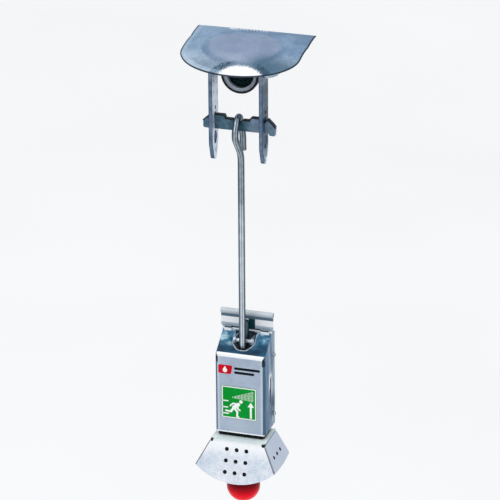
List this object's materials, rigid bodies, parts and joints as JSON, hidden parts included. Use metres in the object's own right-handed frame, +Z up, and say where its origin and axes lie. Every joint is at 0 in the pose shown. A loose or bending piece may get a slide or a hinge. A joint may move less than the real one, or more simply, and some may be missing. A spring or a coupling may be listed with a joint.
{
  "type": "emergency safety shower head with pull rod",
  "caption": "Wall-mounted emergency shower: hooded outlet and valve, twin link bars, pull rod and a housing with a perforated skirt and a red pull ball.",
  "frame": {"origin": "centre of the threaded supply inlet, in the plane of the wall", "axes": "+Y into the wall, along the supply inlet; +Z up; +X to the right as seen from the front"},
  "size_m": [0.179, 0.1427, 0.734],
  "materials": {
    "hood_steel": "brushed, slightly blue",
    "link_steel": "bright flat bar",
    "yoke_steel": "darker plate, satin",
    "bright_steel": "polished wire",
    "housing_steel": "satin sheet",
    "skirt_zinc": "pale zinc plating",
    "zinc_steel": "zinc plated",
    "fastener_steel": "zinc plated fasteners",
    "chromed_brass": "plated brass",
    "black_coat": "black coating, satin",
    "grey_ring": "light grey ring, satin",
    "strainer": "dark perforated plate",
    "seat_plastic": "white bearing plastic",
    "black_rubber": "matt black",
    "black_plastic": "moulded, matt",
    "board_green": "circuit board",
    "battery_case": "plain battery case",
    "sign_green": "green printed film",
    "red_ball": "glossy moulded red"
  },
  "bodies": {
    "fixed": {"wall_flange": "chromed_brass", "inlet_union": "chromed_brass", "flange_nut": "chromed_brass", "valve_body": "black_coat", "outlet_body": "black_coat", "outlet_ring": "grey_ring", "spray_plate": "strainer", "seat_rings": "seat_plastic", "spindle_packing": "seat_plastic", "gland_nuts": "chromed_brass", "hood": "hood_steel", "hood_saddle": "zinc_steel", "saddle_strap": "zinc_steel", "strap_screws": "fastener_steel"},
    "valve_lever": {"valve_ball": "bright_steel", "spindle_left": "bright_steel", "spindle_right": "bright_steel", "crank_arm_left": "zinc_steel", "crank_arm_right": "zinc_steel", "crank_nuts": "fastener_steel", "crank_pins": "fastener_steel"},
    "links": {"link_bar_left": "link_steel", "link_bar_right": "link_steel", "yoke": "yoke_steel"},
    "rod": {"pull_rod": "bright_steel"},
    "housing": {"front_shell": "housing_steel", "rear_shell": "housing_steel", "hanger_bracket": "zinc_steel", "hanger_pin": "bright_steel", "bracket_screws": "fastener_steel", "shell_screws": "fastener_steel", "base_plate": "zinc_steel", "neck_gasket": "black_rubber", "guide_bush": "seat_plastic", "circuit_board": "board_green", "board_spacers": "seat_plastic", "board_screws": "fastener_steel", "sounder": "black_plastic", "microswitch": "black_plastic", "battery": "battery_case", "battery_clip": "zinc_steel", "sign_plate": "sign_green", "skirt": "skirt_zinc", "skirt_screws": "fastener_steel", "return_spring": "bright_steel"},
    "ball": {"pull_ball": "red_ball", "stem": "bright_steel", "stem_collar": "zinc_steel", "stop_ring": "zinc_steel", "ball_nut": "fastener_steel"}
  },
  "joints": [
    {"name": "valve_turn", "type": "hinge", "parent": "fixed", "child": "valve_lever", "pos_m": [0, -0.0565, 0], "axis": [1, 0, 0], "range_deg": [0, 75]},
    {"name": "links_hang", "type": "hinge", "parent": "valve_lever", "child": "links", "pos_m": [0, -0.099, 0.01139], "axis": [1, 0, 0], "range_deg": [-75, 0]},
    {"name": "rod_swing", "type": "hinge", "parent": "links", "child": "rod", "pos_m": [0, -0.099, -0.0714], "axis": [1, 0, 0], "range_deg": [-20, 4]},
    {"name": "housing_swing", "type": "hinge", "parent": "rod", "child": "housing", "pos_m": [0, -0.0797, -0.4258], "axis": [1, 0, 0], "range_deg": [-12, 4]},
    {"name": "ball_pull", "type": "slide", "parent": "housing", "child": "ball", "axis": [0, 0, -1], "range_m": [0, 0.01], "stiffness_N_per_m": 400, "springref_m": -0.006, "deforming": ["return_spring"]}
  ],
  "couplings": [
    {"joint": "links_hang", "follows": "valve_turn", "ratio": -1}
  ]
}
